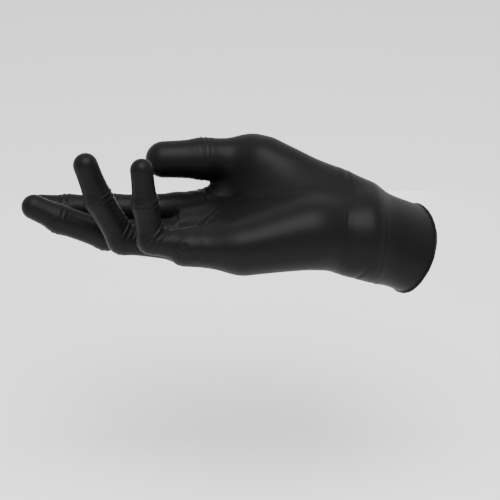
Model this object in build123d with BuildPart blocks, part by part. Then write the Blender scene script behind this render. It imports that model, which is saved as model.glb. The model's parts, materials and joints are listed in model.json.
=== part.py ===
from build123d import *
import os

os.makedirs("parts", exist_ok=True)

# Thin disposable glove for a right hand, in its worn shape, palm up (+Z).
# The fingers point along -X, the thumb is on the +Y side.
# The origin is the centre of the open mouth of the cuff.

film = 0.2              # wall of the film
bead_diameter = 1.5     # rolled edge of the mouth

# forearm end
forearm = Vector(0.853, 0.245, -0.461).normalized()   # from the hand towards the mouth
cuff_reach = 42.0       # wrist hinge to mouth
cuff_half_width = 31.0
cuff_half_height = 23.2
seam = 0.1              # play between films of the palm and what it joins
cuff_taper = 1.0        # how much the sleeve narrows towards the wrist
wrist_gap = 12.0        # free film each side of the wrist hinge
wrist_drop = Vector(0, 0, 1.0)

# palm
palm_length = 74.0      # heel plane to the web between the fingers
palm_sections = [       # share of the length, centre y, centre z, half width, half height
    (0.0, 2.0, 1.0, 33.0, 22.5),
    (0.33, 1.0, -2.0, 38.5, 20.0),
    (0.7, 0.0, -6.0, 40.5, 16.5),
    (1.0, -1.0, -8.0, 40.5, 14.5),
]
thumb_root = Vector(-24.0, 20.0, 4.5)
thumb_root_radius = 15.0
web_wall = 0.8          # film plus the fillet of film between the fingers
corner_ratio = 0.98     # how round the side of a section is

# fingers: base relative to the wrist hinge, lean of the hinge, segment lengths,
# bend at each joint, radius at each joint and at the tip
finger_table = {
    "index": ((-100.0, 29.0, -3.0), 0.0, (37.0, 26.0, 16.0), (0.0, 1.0, 2.0), (8.8, 8.8, 8.2, 7.2)),
    "middle": ((-101.0, 10.0, -11.3), 2.0, (39.0, 28.0, 16.5), (1.0, 19.0, 4.0), (9.0, 9.0, 8.4, 7.2)),
    "ring": ((-98.0, -9.0, -8.0), 4.0, (31.0, 27.0, 21.5), (6.0, 55.0, 9.0), (9.0, 8.8, 8.1, 7.0)),
    "little": ((-92.5, -27.5, -1.0), 6.0, (19.5, 21.0, 20.0), (12.0, 69.0, 4.0), (8.6, 7.8, 7.2, 6.3)),
}
bend_room = (1.08, 1.06, 0.8)    # free film each side of a joint, in radii

# thumb: hinge points relative to the wrist hinge, radius at each and at the tip
thumb_points = [Vector(-58.0, 40.5, 23.5), Vector(-84.0, 36.0, 26.0), Vector(-107.0, 33.0, 26.5)]
thumb_radii = (12.3, 11.8, 10.5)
thumb_room = (0.75, 0.8)

wrist = Vector(0, 0, 0) - forearm * cuff_reach
nodes = []


def finish(name, part):
    """Label one piece and write it."""
    part.label = name
    nodes.append(name)
    export_step(part, f"parts/{name}.step")


def frame_at(origin, direction, across):
    """Plane across a tube: its normal runs along the tube, its x along the hinge."""
    return Plane(origin=origin, x_dir=across, z_dir=direction)


def ring_film(name, start, end, start_radius, end_radius):
    """Open tube of film between two round sections."""
    with BuildPart() as piece:
        with BuildSketch(start):
            Circle(start_radius)
        with BuildSketch(end):
            Circle(end_radius)
        loft(ruled=True)
        with BuildSketch(start):
            Circle(start_radius - film)
        with BuildSketch(end):
            Circle(end_radius - film)
        loft(ruled=True, mode=Mode.SUBTRACT)
    finish(name, piece.part)


def tip_film(name, start, end, start_radius, end_radius):
    """Closed fingertip: a tapered tube with a round end."""
    with BuildPart() as piece:
        with BuildSketch(start):
            Circle(start_radius)
        with BuildSketch(end):
            Circle(end_radius)
        loft(ruled=True)
        with Locations(end.origin):
            Sphere(end_radius)
        with BuildSketch(start):
            Circle(start_radius - film)
        with BuildSketch(end):
            Circle(end_radius - film)
        loft(ruled=True, mode=Mode.SUBTRACT)
        with Locations(end.origin):
            Sphere(end_radius - film, mode=Mode.SUBTRACT)
    finish(name, piece.part)


def flat_section(plane, half_width, half_height, wall=0.0):
    """Flat oval section of the palm or wrist, round at its sides, set in by the wall."""
    width = 2 * (half_width - wall)
    height = 2 * (half_height - wall)
    with BuildSketch(plane) as section:
        RectangleRounded(width, height, corner_ratio * height / 2)
    return section.sketch.faces()[0]


def radius_between(a, b, share):
    return a + (b - a) * share


# ---- cuff and rolled edge ----
cuff_across = Vector(0, 1, 0).cross(forearm).cross(forearm).normalized() * -1
mouth_plane = Plane(origin=(0, 0, 0), x_dir=cuff_across, z_dir=forearm)
cuff_end_plane = Plane(origin=forearm * -bead_diameter, x_dir=cuff_across, z_dir=forearm)
cuff_start_plane = Plane(origin=wrist + forearm * wrist_gap, x_dir=cuff_across, z_dir=forearm)

cuff_start_half_width = cuff_half_width - cuff_taper
cuff_start_half_height = cuff_half_height - cuff_taper


def flat_film(name, start, start_size, end, end_size):
    """Open tube of film between two flat oval sections."""
    with BuildPart() as piece:
        loft([flat_section(start, *start_size), flat_section(end, *end_size)], ruled=True)
        loft([flat_section(start, *start_size, film), flat_section(end, *end_size, film)],
             ruled=True, mode=Mode.SUBTRACT)
    finish(name, piece.part)


flat_film("cuff_sleeve", cuff_start_plane, (cuff_start_half_width, cuff_start_half_height),
          cuff_end_plane, (cuff_half_width, cuff_half_height))

with BuildPart() as bead:
    extrude(flat_section(cuff_end_plane, cuff_half_width, cuff_half_height, -bead_diameter / 2),
            amount=bead_diameter)
    extrude(flat_section(cuff_end_plane, cuff_half_width, cuff_half_height, bead_diameter / 2),
            amount=bead_diameter, mode=Mode.SUBTRACT)
finish("cuff_bead", bead.part)

# ---- palm, with the mound of the thumb ----
palm_planes = []
for share, centre_y, centre_z, half_width, half_height in palm_sections:
    origin = wrist + wrist_drop + Vector(-wrist_gap - share * palm_length, centre_y, centre_z)
    palm_planes.append((Plane(origin=origin, x_dir=(0, 1, 0), z_dir=(-1, 0, 0)), half_width, half_height))

thumb_base = wrist + thumb_points[0]
mound_start = wrist + thumb_root
mound_direction = (thumb_base - mound_start).normalized()
mound_end = thumb_base - mound_direction * thumb_room[0] * thumb_radii[0]
thumb_across = Vector(0.0, 0.5, -0.87)
mound_planes = (frame_at(mound_start, mound_direction, thumb_across),
                frame_at(mound_end, mound_direction, thumb_across))


def palm_body(wall):
    """Palm and thumb mound as solid bodies, set in by the wall."""
    with BuildPart() as body:
        loft([flat_section(*section, wall) for section in palm_planes], ruled=True)
        with BuildSketch(mound_planes[0]):
            Circle(thumb_root_radius - wall)
        with BuildSketch(mound_planes[1]):
            Circle(thumb_radii[0] - wall)
        loft(ruled=True)
    return body.part


with BuildPart() as palm:
    add(palm_body(0.0))
    add(palm_body(film), mode=Mode.SUBTRACT)
finish("palm_shell", palm.part)

# ---- wrist film: joins the palm to the cuff and folds at the wrist ----
heel_plane, heel_half_width, heel_half_height = palm_planes[0]
wrist_end_plane = Plane(origin=cuff_start_plane.origin, x_dir=cuff_across, z_dir=forearm * -1)
flat_film("wrist_film", heel_plane.offset(-seam), (heel_half_width, heel_half_height),
          wrist_end_plane, (cuff_start_half_width, cuff_start_half_height))

# ---- finger bases on the web plane ----
web_plane, web_half_width, web_half_height = palm_planes[-1]
web_outer_x = web_plane.origin.X - web_wall


def finger_chain(row):
    """Joint points and directions of one finger in its rest bend."""
    base, lean, lengths, bends, radii = row
    hinge = Vector(0, 1, 0).rotate(Axis.X, -lean)
    point = wrist + Vector(*base)
    points = [point]
    directions = []
    angle = 0.0
    for length, bend in zip(lengths, bends):
        angle += bend
        direction = Vector(-1, 0, 0).rotate(Axis((0, 0, 0), hinge), angle)
        point = point + direction * length
        points.append(point)
        directions.append(direction)
    return hinge, points, directions, radii


def base_plane(points):
    origin = Vector(web_outer_x, points[0].Y, points[0].Z)
    return Plane(origin=origin, x_dir=(0, 1, 0), z_dir=(-1, 0, 0))


with BuildPart() as web:
    extrude(flat_section(web_plane, web_half_width, web_half_height), amount=web_wall)
    for row in finger_table.values():
        hinge, points, directions, radii = finger_chain(row)
        with BuildSketch(Plane(origin=base_plane(points).origin, x_dir=(0, 1, 0), z_dir=(1, 0, 0))):
            Circle(radii[0] - film)
        extrude(amount=web_wall, mode=Mode.SUBTRACT)
finish("finger_web", web.part)

# ---- fingers ----
joint_words = ("knuckle", "middle_joint", "end_joint")
segment_words = ("base", "middle", "tip")
for finger, row in finger_table.items():
    hinge, points, directions, radii = finger_chain(row)
    previous = base_plane(points)
    previous_radius = radii[0]
    for step in range(3):
        start = points[step] + directions[step] * bend_room[step] * radii[step]
        start_plane = frame_at(start, directions[step], hinge)
        length = (points[step + 1] - points[step]).length
        start_radius = radius_between(radii[step], radii[step + 1], bend_room[step] * radii[step] / length)
        ring_film(f"{finger}_{joint_words[step]}", previous, start_plane, previous_radius, start_radius)
        if step == 2:
            end_plane = frame_at(points[3], directions[2], hinge)
            tip_film(f"{finger}_tip", start_plane, end_plane, start_radius, radii[3])
        else:
            back = bend_room[step + 1] * radii[step + 1]
            end = points[step + 1] - directions[step] * back
            end_plane = frame_at(end, directions[step], hinge)
            end_radius = radius_between(radii[step], radii[step + 1], 1 - back / length)
            ring_film(f"{finger}_{segment_words[step]}", start_plane, end_plane, start_radius, end_radius)
            previous = end_plane
            previous_radius = end_radius
    for word, point in zip(joint_words, points):
        print("joint", finger, word, *[round(v, 3) for v in (point.X, point.Y, point.Z)],
              *[round(v, 5) for v in (hinge.X, hinge.Y, hinge.Z)])

# ---- thumb ----
thumb = [wrist + point for point in thumb_points]
base_direction = (thumb[1] - thumb[0]).normalized()
end_direction = (thumb[2] - thumb[1]).normalized()
base_start = frame_at(thumb[0] + base_direction * thumb_room[0] * thumb_radii[0], base_direction, thumb_across)
base_end = frame_at(thumb[1] - base_direction * thumb_room[1] * thumb_radii[1], base_direction, thumb_across)
tip_start = frame_at(thumb[1] + end_direction * thumb_room[1] * thumb_radii[1], end_direction, thumb_across)
tip_end = frame_at(thumb[2], end_direction, thumb_across)
ring_film("thumb_knuckle", mound_planes[1].offset(seam), base_start, thumb_radii[0], thumb_radii[0])
ring_film("thumb_base", base_start, base_end, thumb_radii[0], thumb_radii[1])
ring_film("thumb_joint", base_end, tip_start, thumb_radii[1], thumb_radii[1])
tip_film("thumb_tip", tip_start, tip_end, thumb_radii[1], thumb_radii[2])
thumb_hinge = base_direction.cross(Vector(0, 0.87, 0.5)).normalized()
for word, point in zip(("knuckle", "joint"), thumb):
    print("joint", "thumb", word, *[round(v, 3) for v in (point.X, point.Y, point.Z)],
          *[round(v, 5) for v in (thumb_hinge.X, thumb_hinge.Y, thumb_hinge.Z)])
print("joint wrist wrist", *[round(v, 3) for v in (wrist.X, wrist.Y, wrist.Z)], 0, 1, 0)
print("pieces", len(nodes))
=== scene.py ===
import json
import math

import bpy
import numpy as np
import openvdb
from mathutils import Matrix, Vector


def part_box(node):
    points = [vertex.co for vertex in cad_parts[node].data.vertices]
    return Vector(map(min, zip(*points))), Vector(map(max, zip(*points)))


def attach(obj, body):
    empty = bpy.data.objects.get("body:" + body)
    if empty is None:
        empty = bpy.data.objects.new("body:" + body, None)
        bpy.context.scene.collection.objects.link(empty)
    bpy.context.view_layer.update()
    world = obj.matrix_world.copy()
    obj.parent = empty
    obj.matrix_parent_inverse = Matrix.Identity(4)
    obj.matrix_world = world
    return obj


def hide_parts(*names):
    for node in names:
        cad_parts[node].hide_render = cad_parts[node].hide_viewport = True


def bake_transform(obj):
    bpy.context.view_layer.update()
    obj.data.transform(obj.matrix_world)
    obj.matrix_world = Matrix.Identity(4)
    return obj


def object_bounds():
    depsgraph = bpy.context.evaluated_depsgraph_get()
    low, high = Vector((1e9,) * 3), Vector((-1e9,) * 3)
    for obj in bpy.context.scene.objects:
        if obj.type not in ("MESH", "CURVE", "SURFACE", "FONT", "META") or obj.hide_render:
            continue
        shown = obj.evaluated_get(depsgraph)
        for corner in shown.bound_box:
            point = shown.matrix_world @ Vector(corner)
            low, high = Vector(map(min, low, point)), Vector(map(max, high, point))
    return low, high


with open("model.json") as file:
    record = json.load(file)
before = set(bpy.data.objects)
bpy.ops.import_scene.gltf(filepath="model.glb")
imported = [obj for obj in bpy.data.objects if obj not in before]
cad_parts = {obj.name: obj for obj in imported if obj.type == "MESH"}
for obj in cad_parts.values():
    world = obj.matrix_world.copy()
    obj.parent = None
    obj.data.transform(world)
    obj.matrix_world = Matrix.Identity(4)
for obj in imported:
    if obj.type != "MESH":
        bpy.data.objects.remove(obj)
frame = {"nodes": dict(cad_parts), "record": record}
cadLow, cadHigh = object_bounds()
print("frame loaded")

mm = 0.001


def vec(*numbers):
    return np.array(numbers, dtype=float)


def unit(v):
    return v / np.linalg.norm(v)


hinges = {}  # joint name to its place in millimetres
for joint in frame["record"]["behaviour"]["joints"]:
    hinges[joint["name"]] = vec(*joint["pos_m"]) / mm

wrist = hinges["wrist_bend"]
forearm = unit(-wrist)  # from the hand to the mouth, which is at the origin
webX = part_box("finger_web")[0][0] / mm

skin = {
    "grid": 0.8,  # how fine the surface is
    "spare": 8,  # room left around the glove
    "deepest": 20.0,  # distances are cut off here
    "rounds": 2,  # of smoothing
    "film": 0.35,
}

cuff = {
    "mouthHalfWidth": 31.0,
    "mouthHalfHeight": 23.6,
    "mouthPower": 2.2,  # 2 is an ellipse, more is squarer
    "wristNarrow": 0.96,  # size at the wrist against size at the mouth
    "narrowing": 44,
    "length": 46,
    "softEnd": 14,
    "edgeLevel": 0.7,  # the edge lies this far inside the mouth's plane
}

palm = {
    "sections": [  # distance from the wrist, centre y, centre z, half width, half height
        (-12.0, 3.5, -6.0, 28.0, 21.0),
        (4.0, 1.5, 0.0, 30.5, 22.3),
        (20.0, 1.0, 2.0, 34.0, 21.5),
        (38.0, 0.0, 0.9, 38.0, 18.6),
        (62.0, -1.0, -3.0, 40.0, 14.4),
        (82.0, -0.5, -6.9, 39.0, 13.6),
        (97.0, 1.5, -7.5, 34.0, 9.5),
    ],
    "power": 2.5,
    "blur": (-12, -6, 0, 6, 12),  # sections are averaged over these shifts
    "arch": 0.0027,  # how much the sides of the palm rise above its middle
    "archMiddle": 8,
    "archStart": 20,
    "archRunsIn": 70,
    "archMost": 9,
}

fingers = {  # radius at each joint and at the tip
    "index": (9.6, 8.9, 8.3, 7.3),
    "middle": (9.9, 9.1, 8.4, 7.3),
    "ring": (9.6, 8.9, 8.2, 7.1),
    "little": (9.2, 8.0, 7.4, 6.5),
}
thumbRadii = (13.2, 12.2, 10.7)
thumbRoot = vec(-24.0, 20.0, 5.0)  # from the wrist
slimming = 0.35  # each segment is a little slimmer between its joints


def nodePoints(name):
    return np.array([tuple(v.co) for v in frame["nodes"][name].data.vertices]) / mm


def readChains():
    # joint places of each digit, and the centre of its round tip
    chains = {}
    for finger, radii in fingers.items():
        points = [hinges[f"{finger}_{word}_bend"] for word in ("knuckle", "middle", "end")]
        cloud = nodePoints(f"{finger}_tip")
        far = cloud[np.argmax(np.linalg.norm(cloud - points[2], axis=1))]
        mean = unit(cloud.mean(axis=0) - points[2])
        reach = ((far - points[2]) @ mean) - radii[3]
        chains[finger] = (points + [points[2] + mean * reach], radii)
    points = [hinges["thumb_knuckle_bend"], hinges["thumb_end_bend"]]
    cloud = nodePoints("thumb_tip")
    mean = unit(cloud.mean(axis=0) - points[1])
    reach = ((cloud - points[1]) @ mean).max() - thumbRadii[2]
    chains["thumb"] = (points + [points[1] + mean * reach], thumbRadii)
    return chains


chains = readChains()


def coneDistance(p, a, b, ra, rb):
    # distance from a round cone, and how far along it the nearest place is
    ab = b - a
    t = np.clip(((p - a) @ ab) / (ab @ ab), 0, 1)
    return np.linalg.norm(p - (a + t[..., None] * ab), axis=-1) - (ra + (rb - ra) * t), t


def smoothMin(a, b, k):
    # joins two shapes with a fillet about k wide
    h = np.clip(0.5 + 0.5 * (b - a) / k, 0, 1)
    return b + (a - b) * h - k * h * (1 - h)


def ovalDistance(u, v, halfWidth, halfHeight, power):
    u = np.abs(u) + 1e-3
    v = np.abs(v) + 1e-3
    f = ((u / halfWidth) ** power + (v / halfHeight) ** power) ** (1 / power)
    slopeU = u ** (power - 1) / halfWidth ** power * f ** (1 - power)
    slopeV = v ** (power - 1) / halfHeight ** power * f ** (1 - power)
    return (f - 1) / np.maximum(np.hypot(slopeU, slopeV), 0.01)


mouthU = unit(np.cross(forearm, np.cross(vec(0, 1, 0), forearm)))
mouthV = np.cross(forearm, mouthU)
if mouthV[2] < 0:
    mouthV = -mouthV


def sleeveDistance(p):
    s = p @ forearm
    share = np.clip((s + cuff["narrowing"]) / cuff["narrowing"], 0, 1)
    size = cuff["wristNarrow"] + (1 - cuff["wristNarrow"]) * share ** 1.5
    side = ovalDistance(p @ mouthU, p @ mouthV, cuff["mouthHalfWidth"] * size,
                        cuff["mouthHalfHeight"] * size, cuff["mouthPower"])
    return -smoothMin(-side, s + cuff["length"], cuff["softEnd"])


def palmDistance(p):
    rows = np.array(palm["sections"])
    along = wrist[0] - p[..., 0]
    shifts = palm["blur"]
    centreY, centreZ, halfWidth, halfHeight = (
        sum(np.interp(along + shift, rows[:, 0], rows[:, i]) for shift in shifts) / len(shifts)
        for i in range(1, 5))
    across = p[..., 1] - wrist[1] - centreY
    archShare = np.clip((along - palm["archStart"]) / palm["archRunsIn"], 0, 1)
    rise = palm["arch"] * archShare * (across - palm["archMiddle"]) ** 2
    up = p[..., 2] - wrist[2] - centreZ - np.minimum(rise, palm["archMost"])
    side = ovalDistance(across, up, halfWidth, halfHeight, palm["power"])
    ends = np.maximum(rows[0, 0] - along, along - rows[-1, 0])
    both = np.maximum(side, 0) ** 2 + np.maximum(ends, 0) ** 2
    return np.where((side < 0) & (ends < 0), np.maximum(side, ends), np.sqrt(both))


thumbStart = wrist + thumbRoot
thumbKnuckle = chains["thumb"][0][0]
indexRoot = chains["index"][0][0] + vec(20, 2, 2)
mounds = (  # two ends, the radius at each and how softly the mound joins the palm
    (wrist + vec(-22, -20, 3), wrist + vec(-60, -27, -3), 17.0, 14.0, 10),  # heel of the hand
    (wrist + vec(-14, 16, 10), wrist + vec(-48, 34, 23), 18.0, 15.5, 12),  # ball of the thumb
    (thumbStart + vec(-4, -4, 1), wrist + vec(-48, 26, 10), 15.0, 13.0, 10),  # inner side of the ball
    (thumbStart, thumbKnuckle, 17.0, thumbRadii[0], 12),  # root of the thumb
    (thumbKnuckle + vec(2, -3, -3), indexRoot, 9.0, 7.0, 11),  # web from thumb to index
)
joining = {  # width of the fillet between two parts of the glove
    "sleeve": 16,
    "segments": 2.5,
    "thumb": 5,
    "neighbours": 0.9,
    "fingers": 7,
}
fingerRoot = {"length": 30, "wider": 0.6}  # the part of a finger that lies in the palm


def gloveDistance(p):
    d = smoothMin(palmDistance(p), sleeveDistance(p), joining["sleeve"])
    for a, b, ra, rb, softness in mounds:
        d = smoothMin(d, coneDistance(p, a, b, ra, rb)[0], softness)
    digits = None
    for name, (route, radii) in chains.items():
        digit = None
        if name != "thumb":
            start = route[0] + vec(fingerRoot["length"], 0, 0)
            digit = coneDistance(p, start, route[0], radii[0] + fingerRoot["wider"], radii[0])[0]
        for a, b, ra, rb in zip(route, route[1:], radii, radii[1:]):
            segment, along = coneDistance(p, a, b, ra, rb)
            segment = segment + slimming * np.sin(math.pi * along)
            digit = segment if digit is None else smoothMin(digit, segment, joining["segments"])
        if name == "thumb":
            d = smoothMin(d, digit, joining["thumb"])
        else:
            digits = digit if digits is None else smoothMin(digits, digit, joining["neighbours"])
    return smoothMin(d, digits, joining["fingers"])


def buildSkin():
    step = skin["grid"]
    low = vec(*cadLow) / mm - skin["spare"]
    high = vec(*cadHigh) / mm + skin["spare"]
    counts = np.ceil((high - low) / step).astype(int)
    ys, zs = np.meshgrid(low[1] + step * np.arange(counts[1]), low[2] + step * np.arange(counts[2]),
                         indexing="ij")
    values = np.empty(tuple(counts), dtype=np.float32)
    for i in range(counts[0]):
        xs = np.full_like(ys, low[0] + step * i)
        values[i] = gloveDistance(np.stack([xs, ys, zs], axis=-1))
    grid = openvdb.FloatGrid(skin["deepest"])
    grid.copyFromArray(np.clip(values, -skin["deepest"], skin["deepest"]))
    points, quads = grid.convertToQuads(isovalue=0.0)
    return np.asarray(points, float) * step + low, np.asarray(quads)[:, ::-1]


points, quads = buildSkin()
print("skin", len(points), "points")


def newMesh(name, verts, faces):
    mesh = bpy.data.meshes.new(name)
    mesh.from_pydata((verts * mm).tolist(), [], faces.tolist())
    mesh.update()
    return mesh


def pointNormals(verts, faces):
    a = verts[faces[:, 2]] - verts[faces[:, 0]]
    b = verts[faces[:, 3]] - verts[faces[:, 1]]
    normal = np.cross(a, b)
    out = np.zeros_like(verts)
    for i in range(4):
        np.add.at(out, faces[:, i], normal)
    return out / np.maximum(np.linalg.norm(out, axis=1, keepdims=True), 1e-9)


def smoothed(verts, faces, rounds):
    edges = np.concatenate([faces[:, [0, 1]], faces[:, [1, 2]], faces[:, [2, 3]], faces[:, [3, 0]]])
    edges = np.concatenate([edges, edges[:, ::-1]])
    count = np.bincount(edges[:, 0], minlength=len(verts)).astype(float)
    for _ in range(rounds):
        total = np.zeros_like(verts)
        for axis in range(3):
            weights = verts[edges[:, 1], axis]
            total[:, axis] = np.bincount(edges[:, 0], weights=weights, minlength=len(verts))
        verts = verts + 0.5 * (total / count[:, None] - verts)
    return verts


quads = quads[(points[quads] @ forearm).max(axis=1) < 0.3]  # the mouth is open
used, quads = np.unique(quads, return_inverse=True)
quads = quads.reshape(-1, 4)
points = smoothed(points[used], quads, skin["rounds"])


def openEdge(faces):
    edge = np.concatenate([faces[:, [i, (i + 1) % 4]] for i in range(4)])
    pairs, counts = np.unique(np.sort(edge, axis=1), axis=0, return_counts=True)
    return np.unique(pairs[counts == 1])


edgePoints = openEdge(quads)
points[edgePoints] -= (points[edgePoints] @ forearm + cuff["edgeLevel"])[:, None] * forearm
normals = pointNormals(points, quads)
handMiddle = vec(-90, -10, 14)
outward = np.einsum("ij,ij->i", normals, points - handMiddle).mean()
if outward < 0:
    quads = quads[:, ::-1]
    normals = -normals

folds = {
    "jointDepth": 0.85,
    "jointWidth": 0.9,
    "jointReach": 2.1,  # in radii of the finger
    "jointRows": ((-2.6, 0.5), (0.2, 1.0), (3.0, 0.6), (5.4, 0.3)),  # place and share of each fold
    "knuckleRipple": 0.18,
    "wristDepth": 0.95,
    "wristWidth": 1.1,
    "wristRows": (  # place, share and slant of each fold
        (-11, 0.5, 1.5), (-7.5, 0.8, 0.5), (-4.0, 0.9, -0.8), (7.0, 0.45, 1.2),
        (11.5, 1.0, 0.4), (14.0, 0.7, -0.5), (17.0, 0.4, -1.2)),
    "palmDepth": 0.6,
    "palmWidth": 1.3,
    "palmReach": 9,
    "palmLines": (  # share of the depth, and the places the fold runs through, from the wrist
        (1.3, ((-93, -36, 3), (-88, -24, 6), (-80, -8, 6), (-72, 6, 7), (-62, 14, 9))),
        (0.55, ((-90, 34, 8), (-76, 22, 8), (-58, 12, 12), (-40, 6, 15))),
        (0.7, ((-92, -17, 3), (-87, -22, 6), (-84, -28, 7), (-84, -35, 4), (-87, -40, -3))),
        (0.7, ((-52, 34, 26), (-40, 26, 27), (-28, 20, 26))),
        (0.7, ((-48, 40, 26), (-36, 33, 26), (-24, 27, 25))),
    ),
    "unevenness": 0.10,
}


def lineDistance(p, route):
    best = np.full(len(p), 1e9)
    for a, b in zip(route, route[1:]):
        best = np.minimum(best, coneDistance(p, a, b, 0.0, 0.0)[0])
    return best


def groove(d, width):
    # a pressed line with a soft ridge beside it
    return -np.exp(-(d / width) ** 2) + 0.55 * np.exp(-((d - 2.1 * width) / width) ** 2)


def softNoise(p, size, seed):
    # a few sine waves in random directions, each call with its own seed
    local = np.random.default_rng(seed)
    total = np.zeros(len(p))
    for _ in range(7):
        total += np.sin(p @ (local.normal(size=3) / size) + local.uniform(0, 6.28))
    return total / 3.0


def jointFolds(route, radii):
    press = np.zeros(len(points))
    for i in range(1, len(route) - 1):
        before = unit(route[i] - route[i - 1])
        after = unit(route[i + 1] - route[i])
        tangent = unit(before + after)
        rel = points - route[i]
        along = rel @ tangent
        near = np.linalg.norm(rel, axis=1) < radii[i] * folds["jointReach"]
        upward = unit(np.cross(np.cross(tangent, vec(0, 0, 1)), tangent))
        palmSide = np.clip(normals @ upward, -1, 1)
        bend = math.degrees(math.acos(np.clip(before @ after, -1, 1)))
        strength = 0.5 + bend / 60.0  # a bent joint has deeper folds
        wave = softNoise(points, 9.0, 11 + i) * 0.7
        inner = np.clip(palmSide + 0.25, 0, 1)
        for offset, share in folds["jointRows"]:
            line = groove(along - offset - wave, folds["jointWidth"])
            press += near * folds["jointDepth"] * strength * share * inner * line
        outer = np.clip(-palmSide, 0, 1)
        ripple = np.sin(along * 1.9 + wave * 2) * np.exp(-(along / 6.0) ** 2)
        press += near * folds["knuckleRipple"] * outer * ripple
    return press


def wristFolds():
    press = np.zeros(len(points))
    rel = points - wrist
    along = rel @ unit(forearm + vec(1, 0, 0))
    around = np.arctan2(rel @ mouthV, rel @ mouthU)
    wave = softNoise(points, 16.0, 3)
    lowSide = 0.35 + 0.65 * np.clip(0.4 - np.sin(around - 0.2), 0, 1)  # deeper under the wrist
    for offset, share, slant in folds["wristRows"]:
        patch = np.clip(0.2 + 1.0 * softNoise(points, 12.0, int(20 + offset)), 0.05, 1.2)
        place = along - offset - 1.6 * wave - slant * np.sin(around)
        press += folds["wristDepth"] * share * lowSide * patch * groove(place, folds["wristWidth"])
    return press


def palmFolds():
    press = np.zeros(len(points))
    for share, line in folds["palmLines"]:
        d = lineDistance(points, [wrist + vec(*place) for place in line])
        press += folds["palmDepth"] * share * groove(d, folds["palmWidth"]) * (d < folds["palmReach"])
    return press


move = wristFolds() + palmFolds()
for route, radii in chains.values():
    move += jointFolds(route, radii)
patches = np.clip(softNoise(points, 20.0, 41), 0, 1)
move += folds["unevenness"] * softNoise(points, 5.0, 40) * patches
points = points + normals * move[:, None]
normals = pointNormals(points, quads)
print("folds pressed in")


class Shade:
    # wraps a socket, so that shader maths is written as an expression
    def __init__(self, tree, socket):
        self.tree = tree
        self.socket = socket

    def node(self, kind, settings=None, **links):
        node = self.tree.nodes.new(kind)
        for key, value in (settings or {}).items():
            setattr(node, key, value)
        for key, value in links.items():
            socket = node.inputs[int(key[1:])] if key[1:].isdigit() else node.inputs[key]
            if isinstance(value, Shade):
                self.tree.links.new(value.socket, socket)
            else:
                socket.default_value = value
        return node

    def maths(self, operation, other):
        node = self.node("ShaderNodeMath", {"operation": operation}, i0=self, i1=other)
        return Shade(self.tree, node.outputs[0])

    def __add__(self, other):
        return self.maths("ADD", other)

    __radd__ = __add__

    def __mul__(self, other):
        return self.maths("MULTIPLY", other)

    __rmul__ = __mul__


nitrile = {
    "colour": (0.0022, 0.0022, 0.0023, 1),
    "paleColour": (0.0045, 0.0045, 0.0048, 1),
    "roughness": 0.38,
    "specular": 0.095,
    "sheen": 0.005,
    "sheenRoughness": 0.5,
    "cloudScale": 34.0,
    "grainScale": 2600.0,
    "stretchScale": 240.0,
    "bumpStrength": 0.5,
    "bumpHeight": 0.00008,
}


def makeNitrile(name, extraPale=0.0):
    material = bpy.data.materials.new(name)
    material.use_nodes = True
    tree = material.node_tree
    shader = tree.nodes["Principled BSDF"]
    place = Shade(tree, tree.nodes.new("ShaderNodeTexCoord").outputs["Object"])

    def noise(scale, detail, rough=0.5):
        node = place.node("ShaderNodeTexNoise", Vector=place, Scale=scale, Detail=detail, Roughness=rough)
        return Shade(tree, node.outputs["Fac"])

    cloudy = noise(nitrile["cloudScale"], 3.0)
    grain = noise(nitrile["grainScale"], 1.0)
    stretch = noise(nitrile["stretchScale"], 4.0, 0.6)
    mix = place.node("ShaderNodeMix", {"data_type": "RGBA"}, i0=cloudy * 0.6 + extraPale,
                     i6=nitrile["colour"], i7=nitrile["paleColour"])
    tree.links.new(mix.outputs[2], shader.inputs["Base Color"])
    roughness = nitrile["roughness"] + 0.10 * cloudy + 0.05 * stretch
    tree.links.new(roughness.socket, shader.inputs["Roughness"])
    shader.inputs["Specular IOR Level"].default_value = nitrile["specular"]
    shader.inputs["Sheen Weight"].default_value = nitrile["sheen"]
    shader.inputs["Sheen Roughness"].default_value = nitrile["sheenRoughness"]
    bump = place.node("ShaderNodeBump", Height=grain * 0.5 + stretch * 1.2,
                      Strength=nitrile["bumpStrength"], Distance=nitrile["bumpHeight"])
    tree.links.new(bump.outputs["Normal"], shader.inputs["Normal"])
    return material


filmMaterial = makeNitrile("black nitrile")
beadMaterial = makeNitrile("black nitrile, rolled", 0.25)

divide = {  # where the skin is divided into pieces
    "cuffFrom": 16,  # from the wrist towards the mouth
    "palmFrom": 18,  # from the wrist towards the fingers
    "fingerFrom": 2.0,  # beyond the web
    "thumbFrom": 12.0,  # before the thumb's knuckle
    "thumbWithin": 9.0,  # of the thumb's own surface
}
pieceNames = ["palmSkin", "cuffSkin", "wristSkin"]
for name, (route, radii) in chains.items():
    pieceNames += [f"{name}Skin{i}" for i in range(len(route) - 1)]


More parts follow.
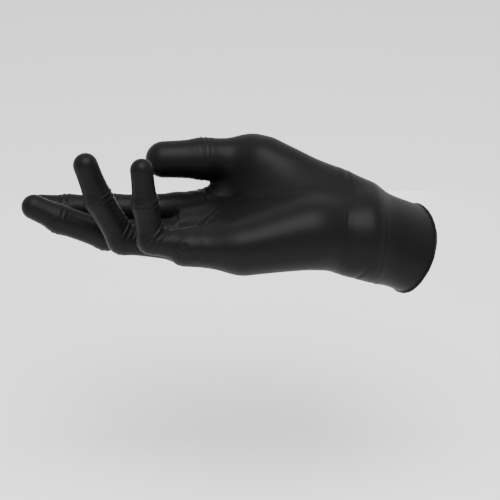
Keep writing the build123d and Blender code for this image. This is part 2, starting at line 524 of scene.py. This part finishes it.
def labelFaces():
    # the number of the piece that each face belongs to
    centres = points[quads].mean(axis=1)
    labels = np.zeros(len(quads), dtype=int)
    towardsMouth = (centres - wrist) @ forearm
    isCuff = towardsMouth > divide["cuffFrom"]
    labels[isCuff] = pieceNames.index("cuffSkin")
    labels[~isCuff & (centres[:, 0] > wrist[0] - divide["palmFrom"])] = pieceNames.index("wristSkin")
    best = np.full(len(centres), 1e9)
    choice = np.full(len(centres), -1)
    for name, (route, radii) in chains.items():
        last = len(route) - 2
        for i in range(last + 1):
            d, t = coneDistance(centres, route[i], route[i + 1], radii[i], radii[i + 1])
            near = pieceNames.index(f"{name}Skin{i}")
            far = pieceNames.index(f"{name}Skin{min(i + 1, last)}")
            choice = np.where(d < best, np.where(t < 0.5, near, far), choice)
            best = np.minimum(best, d)
    isThumb = choice >= pieceNames.index("thumbSkin0")
    beyondWeb = centres[:, 0] < webX - divide["fingerFrom"]
    labels = np.where(~isThumb & beyondWeb, choice, labels)
    knuckle, joint = chains["thumb"][0][:2]
    along = (centres - knuckle) @ unit(joint - knuckle)
    onThumb = isThumb & (along > -divide["thumbFrom"]) & (best < divide["thumbWithin"])
    return np.where(onThumb, choice, labels)


labels = labelFaces()


def makePiece(number, name):
    faces = quads[labels == number]
    ids, local = np.unique(faces, return_inverse=True)
    local = local.reshape(-1, 4)
    outer = points[ids]
    normal = normals[ids]
    inner = outer - normal * skin["film"]
    verts = np.concatenate([outer, inner])
    allFaces = np.concatenate([local, local[:, ::-1] + len(ids)])
    mesh = newMesh(name, verts, allFaces)
    mesh.polygons.foreach_set("use_smooth", np.ones(len(mesh.polygons), dtype=bool))
    mesh.normals_split_custom_set_from_vertices(np.concatenate([normal, -normal]).tolist())
    obj = bpy.data.objects.new(name, mesh)
    bpy.context.scene.collection.objects.link(obj)
    mesh.materials.append(filmMaterial)
    return obj


def at(place):
    return tuple(float(v) * mm for v in place)


pieces = {name: makePiece(number, name) for number, name in enumerate(pieceNames)}
print("pieces", {name: len(obj.data.polygons) for name, obj in pieces.items()})

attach(pieces["palmSkin"], "hand")
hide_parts("palm_shell", "finger_web")
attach(pieces["cuffSkin"], "cuff")
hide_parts("cuff_sleeve")
blending = {
    "wristToMouth": 8,  # distance from the wrist towards the mouth
    "wristToPalm": 9,  # distance from the wrist towards the palm
    "behindKnuckle": 9.0,
    "offWeb": 2.5,
    "apart": 0.3,  # between two joints of one segment
}
wristStart = wrist + forearm * blending["wristToMouth"]
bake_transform(pieces["wristSkin"])
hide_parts("wrist_film")

bodyNames = {"thumb": ("hand", "thumb_base", "thumb_tip")}
nodeNames = {"thumb": (("thumb_knuckle", "thumb_base"), ("thumb_joint", "thumb_tip"))}
for name in fingers:
    bodyNames[name] = ("hand", f"{name}_base", f"{name}_middle", f"{name}_tip")
    nodeNames[name] = ((f"{name}_knuckle", f"{name}_base"), (f"{name}_middle_joint", f"{name}_middle"),
                       (f"{name}_end_joint", f"{name}_tip"))


def blendDigit(name, route, radii):
    bodies = bodyNames[name]
    for i in range(len(bodies) - 1):
        before = vec(-1, 0, 0) if i == 0 else unit(route[i] - route[i - 1])
        if name == "thumb" and i == 0:
            before = unit(route[0] - thumbStart)
        after = unit(route[i + 1] - route[i])
        half = math.acos(np.clip(before @ after, -1, 1)) / 2
        spare = radii[i] * math.sin(half) + blending["apart"]
        if i > 0:
            back = min(radii[i], np.linalg.norm(route[i] - route[i - 1]) / 2 - spare)
        elif name == "thumb":
            back = blending["behindKnuckle"]
        else:
            back = min(blending["behindKnuckle"], webX - blending["offWeb"] - route[0][0])
        ahead = radii[i]
        if i < len(bodies) - 2:
            ahead = min(radii[i], np.linalg.norm(route[i + 1] - route[i]) / 2 - spare)
        piece = pieces[f"{name}Skin{i}"]
        at(route[i] - before * back)
        at(route[i] + after * ahead)
        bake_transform(piece)
        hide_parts(*nodeNames[name][i])


for name, (route, radii) in chains.items():
    blendDigit(name, route, radii)

bead = {
    "radius": 0.85,
    "around": 160,
    "sides": 12,
    "rounds": 3,  # of smoothing along the mouth
    "waves": ((9, 0.06, 0), (23, 0.05, 1)),  # count, share of the radius, shift
}


def makeBead():
    rim = points[edgePoints]
    angle = np.arctan2(rim @ mouthV, rim @ mouthU)
    size = np.hypot(rim @ mouthU, rim @ mouthV)
    order = np.argsort(angle)
    turns = np.linspace(-math.pi, math.pi, bead["around"], endpoint=False)
    radii = np.interp(turns, angle[order], size[order], period=2 * math.pi)
    for _ in range(bead["rounds"]):
        radii = (np.roll(radii, 1) + 2 * radii + np.roll(radii, -1)) / 4
    centre = (np.cos(turns) * radii)[:, None] * mouthU + (np.sin(turns) * radii)[:, None] * mouthV
    centre -= forearm * cuff["edgeLevel"]
    verts = []
    for k, place in enumerate(centre):
        out = unit(math.cos(turns[k]) * mouthU + math.sin(turns[k]) * mouthV)
        waves = sum(share * math.sin(count * turns[k] + shift) for count, share, shift in bead["waves"])
        swell = bead["radius"] * (1 + waves)
        for j in range(bead["sides"]):
            a = 2 * math.pi * j / bead["sides"]
            verts.append(place + swell * (math.cos(a) * out + math.sin(a) * forearm))
    faces = []
    n, m = bead["around"], bead["sides"]
    for k in range(n):
        for j in range(m):
            here, there = k * m, (k + 1) % n * m
            after = (j + 1) % m
            faces.append([here + j, here + after, there + after, there + j])
    mesh = newMesh("cuffBead", np.array(verts), np.array(faces))
    mesh.polygons.foreach_set("use_smooth", np.ones(len(mesh.polygons), dtype=bool))
    obj = bpy.data.objects.new("cuffBead", mesh)
    bpy.context.scene.collection.objects.link(obj)
    mesh.materials.append(beadMaterial)
    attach(obj, "cuff")
    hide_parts("cuff_bead")


makeBead()
print("bead rolled")

studio = {
    "target": (-0.0568, 0.002, -0.0168),  # what the camera looks at, from the wrist
    "elevation": 25.0,
    "distance": 1.1,
    "frameWidth": 0.2875,
    "floorDrop": 0.12,
    "floorHalf": 6,
    "floorShade": (0.92, 0.92, 0.92, 1),
    "worldLight": 1.12,
    "lamps": (  # place, size, power
        ((-0.05, -0.35, 1.0), 0.9, 22.0),
        ((-0.1, 0.42, -0.12), 0.3, 0.35),
        ((-0.15, -0.2, -0.13), 0.4, 0.5),
    ),
}


def makeStudio():
    scene = bpy.context.scene
    target = Vector(at(wrist)) + Vector(studio["target"])
    tilt = math.radians(studio["elevation"])
    camera = bpy.data.objects.new("camera", bpy.data.cameras.new("camera"))
    camera.location = target + Vector((0, -math.cos(tilt), math.sin(tilt))) * studio["distance"]
    camera.rotation_euler = (target - camera.location).to_track_quat("-Z", "Y").to_euler()
    camera.data.lens = camera.data.sensor_width * studio["distance"] / studio["frameWidth"]
    scene.collection.objects.link(camera)
    scene.camera = camera

    floorZ = cadLow[2] - studio["floorDrop"]
    floor = bpy.data.meshes.new("floor")
    corners = [(x * studio["floorHalf"], y * studio["floorHalf"], floorZ)
               for x, y in ((-1, -1), (1, -1), (1, 1), (-1, 1))]
    floor.from_pydata(corners, [], [(0, 1, 2, 3)])
    floorObject = bpy.data.objects.new("floor", floor)
    scene.collection.objects.link(floorObject)
    pale = bpy.data.materials.new("pale floor")
    pale.use_nodes = True
    paleShader = pale.node_tree.nodes["Principled BSDF"]
    paleShader.inputs["Base Color"].default_value = studio["floorShade"]
    paleShader.inputs["Roughness"].default_value = 0.9
    floor.materials.append(pale)

    world = bpy.data.worlds.new("studio")
    world.use_nodes = True
    world.node_tree.nodes["Background"].inputs[0].default_value = (1, 1, 1, 1)
    world.node_tree.nodes["Background"].inputs[1].default_value = studio["worldLight"]
    scene.world = world
    for number, (place, size, power) in enumerate(studio["lamps"]):
        light = bpy.data.lights.new(f"softbox{number}", "AREA")
        light.size = size
        light.energy = power
        lamp = bpy.data.objects.new(f"softbox{number}", light)
        lamp.location = place
        lamp.visible_camera = False
        lamp.rotation_euler = (target - lamp.location).to_track_quat("-Z", "Y").to_euler()
        scene.collection.objects.link(lamp)


makeStudio()
print("studio set")
